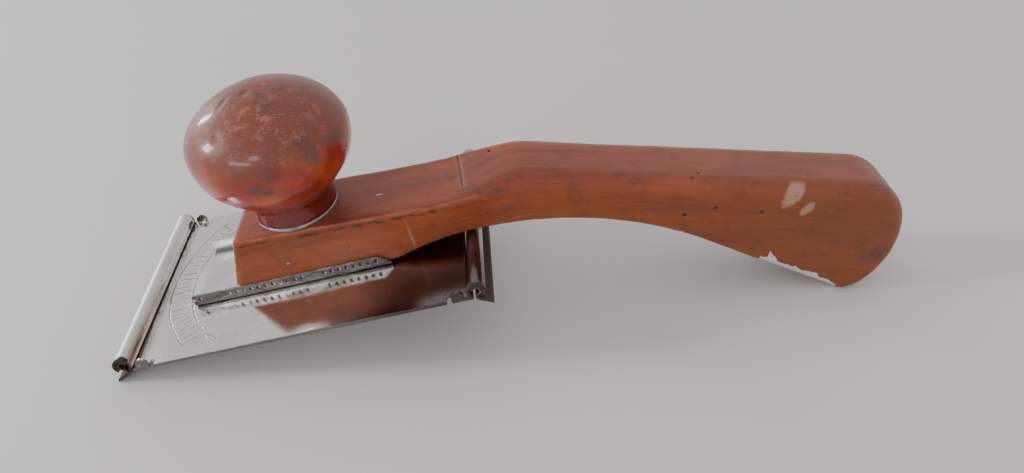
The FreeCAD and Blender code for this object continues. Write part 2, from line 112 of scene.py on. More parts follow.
def draw_across(piece, low, high):
    """Draw the filled outline out across the tool, with its faces turned outward."""
    bpy.ops.transform.translate(value=(0, low, 0))
    bpy.ops.mesh.extrude_region_move(TRANSFORM_OT_translate={"value": (0, high - low, 0)})
    bpy.ops.mesh.select_all(action="SELECT")
    bpy.ops.mesh.normals_make_consistent(inside=False)
    bpy.ops.object.mode_set(mode="OBJECT")
    return piece


def make_active(piece):
    bpy.ops.object.select_all(action="DESELECT")
    piece.select_set(True)
    bpy.context.view_layer.objects.active = piece


def modify(piece, kind, **settings):
    """Add a modifier, set it up and apply it."""
    make_active(piece)
    modifier = piece.modifiers.new(kind.lower(), kind)
    for name, value in settings.items():
        setattr(modifier, name, value)
    bpy.ops.object.modifier_apply(modifier=modifier.name)


def soften(piece, width, segments=2):
    """Round the sharp edges a little, and keep the flat faces flat in the light."""
    modify(piece, "BEVEL", width=width, segments=segments, limit_method="ANGLE",
           angle_limit=math.radians(35))
    bpy.ops.object.shade_smooth_by_angle(angle=math.radians(38))
    modify(piece, "WEIGHTED_NORMAL", keep_sharp=True)


def take_out(piece, low, high):
    """Cut a box-shaped notch out of a piece."""
    bpy.ops.object.select_all(action="DESELECT")
    middle = [(a + b) / 2 for a, b in zip(low, high)]
    bpy.ops.mesh.primitive_cube_add(size=1, location=middle)
    block = bpy.context.object
    block.scale = [b - a for a, b in zip(low, high)]
    bpy.context.view_layer.update()
    modify(piece, "BOOLEAN", operation="DIFFERENCE", object=block, solver="EXACT")
    bpy.data.objects.remove(block)


def rolled_end(fold, outward):
    """Outline of one rolled end, from the plate's upper face round to its lower one."""
    inner = ROLL_RADIUS - SHEET
    crease = -math.degrees(math.asin(ROLL_RISE / ROLL_RADIUS))
    slot = -math.degrees(math.acos((ROLL_OUT - SLOT_START) / inner))
    points = arc((0, 0), ROLL_RADIUS, crease, ROLL_END, 40)
    points += arc((0, 0), inner, ROLL_END, slot, 30)
    points = [(fold + outward * (ROLL_OUT - x), ROLL_RISE + z) for x, z in points]
    return points + [(fold + outward * SLOT_START, -SHEET)]


sole = draw_outline("sole_sheet", rolled_end(0, -1)[::-1] + rolled_end(SOLE_LENGTH, 1))
draw_across(sole, -HALF_SOLE, HALF_SOLE)
ears = []
for side in (-1, 1):
    for fold, inward in ((0, 1), (SOLE_LENGTH, -1)):
        ear_middle = fold + inward * (EAR_START + EAR_WIDTH / 2)
        notch_middle = fold + inward * (EAR_START + EAR_WIDTH + NOTCH_WIDTH / 2)
        rim = side * HALF_SOLE
        take_out(sole,
                 (notch_middle - NOTCH_WIDTH / 2, min(rim - side * NOTCH_DEPTH, rim + side), -3),
                 (notch_middle + NOTCH_WIDTH / 2, max(rim - side * NOTCH_DEPTH, rim + side), 3))
        crown = arc((ear_middle, EAR_RISE - EAR_WIDTH / 2), EAR_WIDTH / 2, 0, 180, 14)
        ear = draw_outline("ear", [(ear_middle - EAR_WIDTH / 2, -0.5 * SHEET),
                                   (ear_middle + EAR_WIDTH / 2, -0.5 * SHEET)] + crown)
        draw_across(ear, *sorted((rim - side * 0.02, rim - side * SHEET)))
        ears.append(ear)
make_active(sole)
for ear in ears:
    ear.select_set(True)
bpy.ops.object.join()
soften(sole, 0.11)


class Value:
    """A number that changes over a surface. Arithmetic on it adds the material's Math nodes."""

    def __init__(self, finish, socket):
        self.finish = finish
        self.socket = socket

    def __add__(self, other):
        return self.finish.maths("ADD", self, other)

    def __sub__(self, other):
        return self.finish.maths("SUBTRACT", self, other)

    def __rsub__(self, other):
        return self.finish.maths("SUBTRACT", other, self)

    def __mul__(self, other):
        return self.finish.maths("MULTIPLY", self, other)

    def __truediv__(self, other):
        return self.finish.maths("DIVIDE", self, other)

    __radd__ = __add__
    __rmul__ = __mul__


class Finish:
    """One procedural material, built up by expressions and ended by its principled shader."""

    def __init__(self, name, place):
        self.material = bpy.data.materials.new(name)
        self.material.use_nodes = True
        self.tree = self.material.node_tree
        self.shader = self.tree.nodes["Principled BSDF"]
        corner, turn, size = place.decompose()
        at = self.node("TexCoord", output="Object")
        self.at = self.node("Mapping", {"vector_type": "TEXTURE"}, Vector=at, Location=corner,
                            Rotation=turn.to_euler(), Scale=size)

    def node(self, kind, settings=None, output=0, **inputs):
        node = self.tree.nodes.new("ShaderNode" + kind)
        for name, value in (settings or {}).items():
            setattr(node, name, value)
        for name, value in inputs.items():
            key = int(name[1:]) if name[0] == "_" else name.replace("_", " ")
            self.feed(node.inputs[key], value)
        return Value(self, node.outputs[output])

    def feed(self, socket, value):
        if isinstance(value, Value):
            self.tree.links.new(value.socket, socket)
        elif socket.type == "RGBA":
            socket.default_value = (*value, 1.0)
        else:
            socket.default_value = value

    def maths(self, operation, first, second=0.0):
        return self.node("Math", {"operation": operation}, _0=first, _1=second)

    def axes(self):
        """The place on the piece, as three numbers."""
        parts = self.node("SeparateXYZ", Vector=self.at)
        return [Value(self, socket) for socket in parts.socket.node.outputs]

    def stretched(self, *factors):
        """The place on the piece with each axis scaled, so that a pattern runs long or short."""
        return self.node("VectorMath", {"operation": "MULTIPLY"}, _0=self.at, _1=factors)

    def noise(self, at, scale=1.0, detail=3.0, roughness=0.5, distortion=0.0):
        return self.node("TexNoise", Vector=at, Scale=scale, Detail=detail, Roughness=roughness,
                         Distortion=distortion)

    def cells(self, at, scale):
        return self.node("TexVoronoi", Vector=at, Scale=scale)

    def step(self, value, low, high):
        """Zero below one bound, one above the other and smooth between; either may be the lower."""
        return self.node("MapRange", {"interpolation_type": "SMOOTHSTEP"}, Value=value,
                         From_Min=low, From_Max=high)

    def spot(self, centre, reach, edge=0.35, ragged=None):
        """One inside an ellipsoid round a place, fading out at its edge."""
        away = self.node("VectorMath", {"operation": "SUBTRACT"}, _0=self.at, _1=centre)
        away = self.node("VectorMath", {"operation": "DIVIDE"}, _0=away, _1=reach)
        away = self.node("VectorMath", {"operation": "LENGTH"}, output="Value", _0=away)
        return self.step(away if ragged is None else away + ragged, 1 + edge, 1 - edge)

    def mix(self, share, under, over):
        return self.node("Mix", {"data_type": "RGBA"}, output=2, _0=share, _6=under, _7=over)

    def bump(self, height, distance, strength=1.0, under=None):
        """Raise the surface by a height given in millimetres times the distance."""
        inputs = {"Strength": strength, "Distance": distance * MM, "Height": height}
        if under is not None:
            inputs["Normal"] = under
        return self.node("Bump", **inputs)

    def end(self, **inputs):
        for name, value in inputs.items():
            self.feed(self.shader.inputs[name.replace("_", " ")], value)
        return self.material


def paint(piece, material):
    piece.data.materials.clear()
    piece.data.materials.append(material)


def lay(piece, body, node):
    """Carry a finished piece from the plate's frame to where the tool lies, on its body."""
    piece.data.transform(tool_frame)
    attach(piece, body)
    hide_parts(node)


NICKEL = (0.70, 0.685, 0.665)
NICKEL_DULL = (0.43, 0.415, 0.40)
RUST = (0.070, 0.036, 0.025)
# a near-black used for grime, and also for painted shade in the saddle's creases
GRIME_AND_SHADE = (0.018, 0.015, 0.014)


def nickel_finish(name, roughness):
    """Worn nickel: wiped with fine scratches, dull on the rolls and rusted in the folds."""
    f = Finish(name, tool_frame)
    x, y, z = f.axes()
    cloud = f.noise(f.at, 0.09, 4, 0.6)
    wiped = f.noise(f.stretched(3.0, 0.25, 1.0), 1.1, 3, 0.6)
    hatched = f.noise(f.stretched(0.4, 4.0, 1.0), 1.4, 3, 0.65)
    ragged = f.noise(f.at, 0.75, 4, 0.7)
    coarse = f.noise(f.at, 0.33, 3, 0.6)
    pits = f.step(f.cells(f.at, 0.55), 0.11, 0.05) * f.step(f.noise(f.at, 0.16, 2), 0.50, 0.62)
    grit = f.step(f.noise(f.at, 2.6, 4, 0.7), 0.66, 0.74)
    grit = grit * f.step(f.noise(f.at, 0.11, 3), 0.52, 0.64)
    beyond = f.maths("ABSOLUTE", x - SOLE_LENGTH / 2) - SOLE_LENGTH / 2
    on_roll = f.step(beyond, -0.2, 0.2)
    rim = f.maths("ABSOLUTE", y)
    crease = f.maths("SQRT", beyond * beyond + z * z) + f.step(x, 60, 80) * 0.25
    in_fold = f.maths("MAXIMUM", f.step(crease + (ragged - 0.5) * 0.6, 0.52, 0.28),
                      f.step(crease, 1.3, 0.6) * f.step(coarse, 0.60, 0.66))
    at_rim = f.step(rim + (ragged - 0.5) * 0.9, HALF_SOLE - 0.40, HALF_SOLE - 0.1) * 0.85
    at_end = f.step(rim + (coarse - 0.5) * 3.0, HALF_SOLE - 1.6, HALF_SOLE - 0.5) * on_roll
    corner = f.step(f.maths("ABSOLUTE", beyond + 3.6), 4.6, 1.6)
    corner = corner * f.step(rim, HALF_SOLE - 4.4, HALF_SOLE - 1.2)
    stain = f.step(ragged, 0.50, 0.64) * corner
    dirty = f.maths("MAXIMUM", f.maths("MAXIMUM", in_fold, at_rim), f.maths("MAXIMUM", stain, pits))
    dirty = f.maths("MAXIMUM", dirty, at_end * f.step(y, 6, -6))
    dull = f.step(cloud, 0.46, 0.72) * 0.45 + f.step(wiped, 0.55, 0.75) * 0.22 + on_roll * 0.30
    colour = f.mix(dull, NICKEL, NICKEL_DULL)
    browned = f.step(beyond, 1.7, -0.1) * f.step(z, 3.5, 1.2) * f.step(y, 22, -20) * on_roll
    colour = f.mix(browned * f.step(coarse, 0.30, 0.62) * 0.85, colour, (0.14, 0.098, 0.080))
    # painted reflection: toward the rear, under the grip, the plate is painted darker and mauve,
    # and darker still by its near rim, standing in for the grip's shaded underside seen in it
    colour = f.mix(f.step(x, 52, 72) * 0.62, colour, (0.23, 0.185, 0.20))
    colour = f.mix(f.step(x, 60, 74) * f.step(y, -12, -24) * 0.7, colour, (0.075, 0.055, 0.06))
    # painted shade: the ears on the far side are painted dark
    on_ear = f.step(z, 0.1, 0.5) * f.step(rim, HALF_SOLE - 1.2, HALF_SOLE - 1.0) * (1 - on_roll)
    colour = f.mix(on_ear * f.step(y + ragged * 40, 5, 35) * 0.85, colour, (0.09, 0.065, 0.055))
    colour = f.mix(grit * 0.6, colour, GRIME_AND_SHADE)
    colour = f.mix(dirty, colour, f.mix(f.step(ragged, 0.35, 0.7), GRIME_AND_SHADE, RUST))
    on_roll = on_roll * f.step(x, 60, 30)
    rough = roughness + dull * 0.16 + on_roll * 0.34 + (hatched - 0.5) * 0.10 + dirty * 0.5
    waves = f.bump(f.noise(f.at, 0.05, 1), 0.5, 0.5)
    fine = f.bump(wiped + hatched - dirty * 1.5, 0.018, 0.6, waves)
    return f, colour, rough, dirty, fine


# the engraving ahead of the saddle is plain: an arched band of hatching between two lines
f, colour, rough, dirty, normal = nickel_finish("nickel_sole", 0.085)
x, y, z = f.axes()
wander = f.noise(f.at, 0.30, 2) - 0.5
ahead = 44 - x
away = f.maths("SQRT", ahead * ahead + y * y) + wander * 0.9
around = f.maths("ARCTAN2", y, ahead) * 38
lines = None
for line_place in (41.4, 34.9):
    line = f.step(f.maths("ABSOLUTE", away - line_place), 0.24, 0.10)
    lines = line if lines is None else lines + line
sway = f.maths("SINE", around * 0.9) * 0.3 + f.maths("SINE", away * 0.9 + around * 0.5) * 0.25
hatch = f.step(f.maths("PINGPONG", around + sway + wander, 0.95), 0.19, 0.07)
band = f.step(f.maths("ABSOLUTE", away - 38.15 + f.maths("SINE", around * 1.7) * 0.4), 2.5, 2.3)
lines = (lines + hatch * band) * f.step(f.maths("ABSOLUTE", y), 27.2, 27.0) * f.step(ahead, 20, 22)
lines = lines * f.step(z, -0.3, -0.1) * f.step(z, 0.5, 0.2)
lines = lines * f.step(f.noise(f.at, 0.5, 3), 0.34, 0.46)
frosted = f.spot((12.5, 2.0, 0), (5.5, 16, 3), 0.3, (f.noise(f.at, 0.3, 3) - 0.5) * 1.2)
colour = f.mix(frosted * 0.35, colour, (0.36, 0.36, 0.37))
colour = f.mix(lines * 0.80, colour, GRIME_AND_SHADE)
nickel_sole = f.end(Base_Color=colour, Roughness=rough + frosted * 0.22 + lines * 0.3,
                    Metallic=1 - dirty * 0.85, Normal=f.bump(1 - lines, 0.05, 0.5, normal))
paint(sole, nickel_sole)
lay(sole, "tool", "sole_plate")


# Handle saddle
# A channel pressed from the same sheet, screwed between plate and block. Its low flanges hold
# the block's sides, are cut off slantwise at the rear, and carry a row of punched dimples.
SADDLE_START, SADDLE_END, SADDLE_RISE = 12.5, 69.1, 3.9
SADDLE_CUT, SADDLE_CUT_FALL = 3.2, 2.7
HALF_BLOCK, SADDLE_CLEARANCE, SADDLE_FOLD = 11.35, 0.05, 1.0
HALF_SADDLE = HALF_BLOCK + SADDLE_CLEARANCE + SHEET
DIMPLE_RADIUS, DIMPLE_PITCH = 0.62, 2.1

bpy.ops.object.select_all(action="DESELECT")
bpy.ops.mesh.primitive_plane_add(size=1, location=((SADDLE_START + SADDLE_END) / 2, 0, 0))
saddle = bpy.context.object
saddle.name = saddle.data.name = "saddle_channel"
saddle.scale = (SADDLE_END - SADDLE_START, 2 * HALF_SADDLE, 1)
bpy.ops.object.transform_apply(location=True, rotation=True, scale=True)
for side in (-1, 1):
    bpy.ops.object.mode_set(mode="EDIT")
    bpy.ops.mesh.select_mode(type="EDGE")
    bpy.ops.mesh.select_all(action="DESELECT")
    bpy.ops.object.mode_set(mode="OBJECT")
    for edge in saddle.data.edges:
        ends = [saddle.data.vertices[number].co for number in edge.vertices]
        edge.select = all(abs(end.y - side * HALF_SADDLE) < 0.01 and end.z < 0.01 for end in ends)
    bpy.ops.object.mode_set(mode="EDIT")
    bpy.ops.mesh.extrude_region_move(TRANSFORM_OT_translate={"value": (0, 0, SADDLE_RISE)})
    bpy.ops.object.mode_set(mode="OBJECT")
for edge in saddle.data.edges:
    ends = [saddle.data.vertices[number].co for number in edge.vertices]
    edge.select = all(abs(abs(end.y) - HALF_SADDLE) < 0.01 and end.z < 0.01 for end in ends)
bpy.ops.object.mode_set(mode="EDIT")
bpy.ops.mesh.bevel(offset=SADDLE_FOLD, segments=5, affect="EDGES")
bpy.ops.mesh.select_all(action="SELECT")
slope = Vector((SADDLE_CUT_FALL, 0, SADDLE_CUT)).normalized()
bpy.ops.mesh.bisect(plane_co=(SADDLE_END, 0, SADDLE_RISE - SADDLE_CUT_FALL), plane_no=slope,
                    clear_outer=True, use_fill=False)
bpy.ops.mesh.select_all(action="SELECT")
bpy.ops.mesh.normals_make_consistent(inside=False)
bpy.ops.object.mode_set(mode="OBJECT")
floor_face = max(saddle.data.polygons, key=lambda face: face.area)
inward = 1 if floor_face.normal.z > 0 else -1
modify(saddle, "SOLIDIFY", thickness=SHEET, offset=inward, use_even_offset=True)
soften(saddle, 0.1)

f, colour, rough, dirty, normal = nickel_finish("nickel_saddle", 0.16)
x, y, z = f.axes()
along = f.maths("PINGPONG", x - SADDLE_START, DIMPLE_PITCH / 2)
up = z - SADDLE_RISE * 0.60
reach = f.maths("SQRT", along * along + up * up * 0.5)
outside = f.step(f.maths("ABSOLUTE", y), HALF_SADDLE - 0.4, HALF_SADDLE - 0.2)
dimple = f.step(reach, DIMPLE_RADIUS, DIMPLE_RADIUS * 0.45) * outside
dimple = dimple * f.step(f.noise(f.stretched(1, 1, 0), 0.45, 1), 0.36, 0.5)
# painted shade: a dark line along the crease at the foot of each flange, also made dull and less
# metallic
crease_shade = f.step(z + (f.noise(f.at, 0.8, 3) - 0.5) * 0.5, 0.32, 0.12) * outside
smudge = f.step(f.noise(f.stretched(0.22, 1, 0.7), 0.8, 4, 0.65), 0.40, 0.64) * outside
# the flanges' outer faces are painted dark: a painted dark reflection, with dirt smudged over it
colour = f.mix(outside * 0.62 + smudge * 0.25, colour, (0.085, 0.066, 0.062))
# painted shade low in the channel's inner corners
corner_shade = f.step(f.maths("ABSOLUTE", y), 8.0, 10.4) * f.step(z, 2.2, 1.2) * (1 - outside)
colour = f.mix(corner_shade * 0.75, colour, (0.10, 0.09, 0.09))
colour = f.mix(dimple * 0.75, colour, GRIME_AND_SHADE)
colour = f.mix(crease_shade, colour, GRIME_AND_SHADE)
# a bump tips the flanges' normals out by about four degrees toward their upper edges, as if they
# leaned
lean = f.bump(z * outside * 0.07, 1.0, 1.0, normal)
nickel_saddle = f.end(Base_Color=colour, Roughness=rough + dimple * 0.25 + crease_shade * 0.5,
                      Metallic=1 - crease_shade * 0.8, Normal=f.bump(1 - dimple, 0.18, 1.0, lean))
paint(saddle, nickel_saddle)
lay(saddle, "tool", "handle_saddle")


# Blades
# Strips of tool steel, curled to slide into the rolled seats. The lip leaves by the slot
# underneath, flares outward and is filed to an edge. They are dark with rust.
BLADE, PLAY = 0.6, 0.15
HOOK_BEND, HOOK_LENGTH, HOOK_BEVEL = 0.6, 3.5, 0.6
CURL_START, CURL_END, LIP_SLOPE = 20, 250, 30

f = Finish("rusty_blade", tool_frame)
scale_rust = f.noise(f.at, 0.9, 6, 0.7)
blotch = f.noise(f.at, 0.22, 3)
bright = f.step(f.noise(f.stretched(0.4, 2.5, 1), 0.9, 4, 0.6), 0.60, 0.72)
colour = f.mix(f.step(scale_rust, 0.35, 0.68), (0.028, 0.020, 0.018), (0.12, 0.055, 0.032))
colour = f.mix(f.step(blotch, 0.5, 0.7) * 0.5, colour, (0.05, 0.045, 0.045))
bright = bright + f.step(f.axes()[0], 30, 60) * 0.15
colour = f.mix(bright * 0.55, colour, (0.30, 0.28, 0.27))
blade_steel = f.end(Base_Color=colour, Roughness=0.66 - bright * 0.28 + (scale_rust - 0.5) * 0.3,
                    Metallic=0.45 + bright * 0.5, Normal=f.bump(scale_rust, 0.12, 0.8))


def make_blade(name, fold, outward):
    """One hooked blade, its curl lying in the seat beyond the given fold."""
    outer = ROLL_RADIUS - SHEET - PLAY
    curl_end = math.radians(CURL_END)
    bend = (outer + HOOK_BEND) * math.cos(curl_end), (outer + HOOK_BEND) * math.sin(curl_end)

    def lip(radius, length):
        """The place on the lip's inner or outer face, so far along it from the bend."""
        slope = math.radians(LIP_SLOPE)
        return (bend[0] + radius * math.sin(slope) - length * math.cos(slope),
                bend[1] - radius * math.cos(slope) - length * math.sin(slope))

    turn_start, turn_end = CURL_END - 180, -90 + LIP_SLOPE
    points = arc((0, 0), outer, CURL_START, CURL_END, 26)
    points += arc(bend, HOOK_BEND, turn_start, turn_end, 8)[1:]
    points += [lip(HOOK_BEND, HOOK_LENGTH), lip(HOOK_BEND + BLADE, HOOK_LENGTH + HOOK_BEVEL)]
    points += arc(bend, HOOK_BEND + BLADE, turn_end, turn_start, 8)
    points += arc((0, 0), outer - BLADE, CURL_END, CURL_START, 26)[1:]
    points = [(fold + outward * (ROLL_OUT - x), ROLL_RISE + z) for x, z in points]
    blade = draw_outline(name, points)
    draw_across(blade, -HALF_SOLE + 0.15, HALF_SOLE - 0.15)
    soften(blade, 0.05)
    paint(blade, blade_steel)
    return blade


lay(make_blade("front_hook_blade", 0, -1), "front_blade", "front_blade")
lay(make_blade("rear_hook_blade", SOLE_LENGTH, 1), "rear_blade", "rear_blade")


# Handle
# One piece of hardwood: the block on the saddle, a waist, the humped grip and the butt. It is
# stained red-brown and lacquered, and is cracked, dented, wormed and rubbed with age. Its upper
# faces carry a painted sheen, and its rubbed edges a painted highlight.
handle = bpy.data.objects.new("wooden_handle", frame["nodes"]["handle"].data.copy())
handle.data.name = "wooden_handle"
bpy.context.scene.collection.objects.link(handle)
handle.data.transform(tool_frame.inverted())
make_active(handle)
bpy.ops.object.mode_set(mode="EDIT")
bpy.ops.mesh.select_all(action="SELECT")
bpy.ops.mesh.remove_doubles(threshold=0.003)
bpy.ops.object.mode_set(mode="OBJECT")
modify(handle, "REMESH", mode="VOXEL", voxel_size=0.52, use_smooth_shade=True)
modify(handle, "SMOOTH", factor=0.5, iterations=3)

CRACK_X, CRACK_SKEW = 92.4, -0.085
WORM_HOLES = [(152.4, -7.75, 3.7), (154.5, -5.7, 3.4), (148.7, -11.35, -5.4), (157.1, -11.35, -5.3),
              (169.3, -11.35, -10.0), (100.8, 6.5, 17.0)]


def get_points(piece):
    """The places of all the piece's vertices, one row each."""
    points = np.empty(len(piece.data.vertices) * 3)
    piece.data.vertices.foreach_get("co", points)
    return points.reshape(-1, 3)


def get_normals(piece):
    normals = np.empty(len(piece.data.vertices) * 3)
    piece.data.vertex_normals.foreach_get("vector", normals)
    return normals.reshape(-1, 3)


def smooth_step(values, low, high):
    share = np.clip((values - low) / (high - low), 0, 1)
    return share * share * (3 - 2 * share)


def ripple(points, seed, length, count=24):
    """Smooth random waves of about one wavelength, between minus one and one."""
    draws = np.random.default_rng(seed)
    turns = draws.normal(size=(count, 3))
    turns /= np.linalg.norm(turns, axis=1, keepdims=True)
    turns *= 2 * math.pi / length * draws.uniform(0.6, 1.5, (count, 1))
    waves = np.sin(points @ turns.T + draws.uniform(0, 2 * math.pi, count))
    return waves.sum(axis=1) / math.sqrt(count)


def sharpness(piece, points, normals, rounds):
    """How far each point stands proud of its neighbours: high on edges, low in hollows."""
    pairs = np.empty(len(piece.data.edges) * 2, dtype=np.int64)
    piece.data.edges.foreach_get("vertices", pairs)
    first, second = pairs.reshape(-1, 2).T
    number = np.bincount(first, minlength=len(points)) + np.bincount(second, minlength=len(points))
    smoothed = points.copy()
    for _ in range(rounds):
        total = np.zeros_like(points)
        for axis in range(3):
            total[:, axis] = (np.bincount(first, smoothed[second, axis], len(points))
                              + np.bincount(second, smoothed[first, axis], len(points)))
        smoothed = total / number[:, None]
    return ((points - smoothed) * normals).sum(axis=1)


points, normals = get_points(handle), get_normals(handle)
proud = sharpness(handle, points, normals, 14)
worn = smooth_step(proud, 0.10, 0.55)
x, y, z = points.T
on_top = smooth_step(normals[:, 2], 0.6, 0.9)
depth = 0.05 * ripple(points, 3, 26) + 0.025 * ripple(points, 4, 7)
# nicks along the rounded edges
nicks = smooth_step(ripple(points, 5, 2.6) * 0.7 + ripple(points, 6, 11) * 0.5, 0.95, 1.6)
depth -= nicks * worn * 0.55
# the crack across the waist
crack_line = CRACK_X + CRACK_SKEW * y + 0.1 * np.sin(y * 1.7)
crack = np.exp(-((x - crack_line) / 0.42) ** 2) * on_top
depth -= 0.35 * crack * smooth_step(y, -7.0, -5.0) * smooth_step(-y, -9.5, -8.0)
# worm holes in the grip
for hole in WORM_HOLES:
    away = np.linalg.norm(points - np.array(hole), axis=1)
    depth -= 0.5 * np.exp(-(away / 0.55) ** 2)
# the splintered lower edge of the butt
under_edge = -0.629 * (x - 152.0) - 0.777 * (z + 14.4)
splinter = (smooth_step(under_edge + 0.5 * ripple(points, 7, 4), -2.9, -1.5)
            * smooth_step(x, 167, 170) * smooth_step(-x, -192, -189) * smooth_step(-y, 7, 10))
depth -= 0.38 * splinter
points += normals * depth[:, None]
handle.data.vertices.foreach_set("co", points.ravel())
handle.data.update()
for name, values in (("worn", worn), ("splinter", splinter)):
    layer = handle.data.attributes.new(name, "FLOAT", "POINT")
    layer.data.foreach_set("value", values.astype(np.float32))

STAIN_SIDE = (0.275, 0.056, 0.011)
STAIN_SIDE_DEEP = (0.175, 0.034, 0.009)
# the upper faces' stain is pinker than the sides': a painted sheen of the lacquer
STAIN_TOP_PAINTED_SHEEN = (0.305, 0.058, 0.026)
STAIN_TOP_DEEP_PAINTED_SHEEN = (0.17, 0.034, 0.020)
BARE_WOOD = (0.46, 0.19, 0.085)
PALE_PAINT = (0.66, 0.61, 0.57)
DIRT = (0.030, 0.015, 0.012)

f = Finish("handle_lacquer", tool_frame)
x, y, z = f.axes()
facing = f.node("SeparateXYZ", Vector=f.node("TexCoord", output="Normal")).socket.node
upward = f.step(Value(f, facing.outputs[2]), 0.35, 0.80)
# the grain runs level along the block and bends down with the grip
across = z + f.maths("MAXIMUM", x - 108, 0.0) * 0.32


def along_grain(lengthwise, crosswise):
    return f.node("CombineXYZ", X=x * lengthwise, Y=y * crosswise, Z=across * crosswise)


broad = f.noise(along_grain(0.022, 0.12), 1.0, 3, 0.55, 0.4)
grain = f.noise(along_grain(0.07, 1.3), 1.0, 5, 0.62, 0.3)
fibre = f.noise(along_grain(0.30, 5.0), 1.0, 3, 0.6)
pores = f.step(f.noise(along_grain(0.5, 4.5), 1.0, 2, 0.5), 0.665, 0.73)
ragged = f.noise(f.at, 0.9, 5, 0.7)
mottle = f.noise(f.at, 0.16, 5, 0.65)
scuffed = f.step(f.noise(along_grain(0.28, 0.8), 0.8, 6, 0.75), 0.56, 0.70)
scuffed = scuffed * f.step(f.noise(f.at, 0.055, 2), 0.44, 0.62)
side = f.mix(f.step(broad, 0.3, 0.72), STAIN_SIDE_DEEP, STAIN_SIDE)
top = f.mix(f.step(broad, 0.3, 0.72), STAIN_TOP_DEEP_PAINTED_SHEEN, STAIN_TOP_PAINTED_SHEEN)
# upward faces take the pinker colour with the painted sheen
wood = f.mix(upward, side, top)
wood = f.mix(f.step(grain, 0.40, 0.66) * 0.16, wood, (0.47, 0.115, 0.025))
wood = f.mix(f.step(fibre, 0.5, 0.72) * 0.16, wood, (0.13, 0.025, 0.008))
wood = f.mix(pores * 0.40, wood, DIRT)
wood = f.mix(f.step(mottle, 0.48, 0.70) * 0.45, wood, (0.11, 0.030, 0.017))
wood = f.mix(f.step(x, 112, 190) * 0.42, wood, (0.13, 0.046, 0.020))
wood = f.mix(scuffed * 0.16, wood, BARE_WOOD)
worn = f.node("Attribute", {"attribute_name": "worn"}, output="Fac")
blemish = f.step(f.noise(along_grain(0.30, 0.9), 0.8, 6, 0.78), 0.60, 0.68)
blemish = blemish * f.step(f.noise(f.at, 0.09, 2), 0.46, 0.60)
wood = f.mix(blemish * 0.55, wood, DIRT)
# the proud edges are rubbed paler: worn toward bare wood, and a painted highlight along the rounded
# edges
rubbed_and_highlit = worn * f.step(f.noise(along_grain(0.22, 0.9), 1.0, 6, 0.75), 0.50, 0.62)
wood = f.mix(rubbed_and_highlit * 0.42, wood, BARE_WOOD)
chips = f.step(f.noise(along_grain(0.22, 0.7), 0.9, 5, 0.7), 0.48, 0.56)
chips = chips * f.step(f.maths("ABSOLUTE", z - 15.9 + (x - 30) * 0.043), 0.65, 0.25)
chips = chips * f.step(y, -10.2, -10.9) * f.step(x, 96, 84)
wood = f.mix(chips * 0.85, wood, DIRT)
waist_dirt = f.spot((101.5, -10.8, 15.2), (4.0, 2.0, 0.6), 0.6, (ragged - 0.5) * 2.4)
wood = f.mix(waist_dirt * 0.6, wood, DIRT)
specks = f.step(f.cells(f.at, 0.27), 0.085, 0.04) * f.step(mottle, 0.44, 0.56)
hole_mask = specks
for hole in WORM_HOLES:
    hole_mask = f.maths("MAXIMUM", hole_mask, f.spot(hole, (0.62, 0.5, 0.5), 0.3, ragged - 0.5))
wood = f.mix(hole_mask * 0.9, wood, (0.022, 0.012, 0.010))
crack_away = f.maths("ABSOLUTE", x - y * CRACK_SKEW - CRACK_X + (ragged - 0.5) * 0.35)
crack_place = f.step(y, -7.0, -5.5) * upward
wood = f.mix(f.step(crack_away, 1.3, 0.5) * crack_place * 0.22, wood, BARE_WOOD)
cracked = f.step(crack_away, 0.46, 0.20) * crack_place
wood = f.mix(cracked * 0.85, wood, (0.045, 0.040, 0.046))
drift = (ragged - 0.5) * 1.1


def slanted_smear(place_x, place_z, length, width):
    """A ragged oval on the near side that leans up toward the rear."""
    along = (x - place_x) * 0.8 + (z - place_z) * 0.6
    athwart = (z - place_z) * 0.8 - (x - place_x) * 0.6
    away = along * along / length ** 2 + athwart * athwart / width ** 2
    return f.step(f.maths("SQRT", away) + drift, 1.25, 0.75) * f.step(y, -7, -9)


smears = slanted_smear(178.4, -6.9, 4.3, 2.0)
smears = f.maths("MAXIMUM", smears, slanted_smear(181.5, -12.2, 2.3, 1.3))
smears = f.maths("MAXIMUM", smears, slanted_smear(177.0, -8.2, 1.6, 1.3))
smears = smears * f.step(ragged + mottle * 0.3, 0.36, 0.60)
wood = f.mix(smears * 0.60, wood, (0.42, 0.30, 0.23))
scrape = f.spot((201.0, -11.35, -34.0), (4.6, 3, 2.6), 0.5, drift)
wood = f.mix(scrape * f.step(ragged, 0.35, 0.6) * 0.75, wood, (0.055, 0.040, 0.038))
fleck = f.maths("MAXIMUM", f.spot((42.0, -11.35, 7.3), (0.42, 1, 0.22), 0.3),
                f.spot((69.7, -1.1, 15.9), (0.9, 0.22, 1), 0.4)) * 0.7
streak = f.spot((76.5, -11.35, 7.0), (0.35, 2, 4.0), 0.7, drift) * 0.14
wood = f.mix(f.maths("MAXIMUM", fleck, streak), wood, PALE_PAINT)
splintered = f.node("Attribute", {"attribute_name": "splinter"}, output="Fac")
spike = f.maths("ABSOLUTE", x - 171.4 + (z + 26) * 0.12) + f.maths("MAXIMUM", z + 28, 0.0) * 0.42
spike = f.step(spike + drift * 1.1, 1.9, 1.0) * f.step(y, -7, -9)
splintered = f.maths("MAXIMUM", splintered, spike)
splintered = f.step(splintered + (ragged - 0.5) * 1.3, 0.40, 0.62)
wood = f.mix(splintered * 0.85, wood, PALE_PAINT)
bare = f.maths("MAXIMUM", splintered, f.maths("MAXIMUM", smears, hole_mask))
rough = 0.38 + scuffed * 0.16 + rubbed_and_highlit * 0.08 + bare * 0.35 + (mottle - 0.5) * 0.16
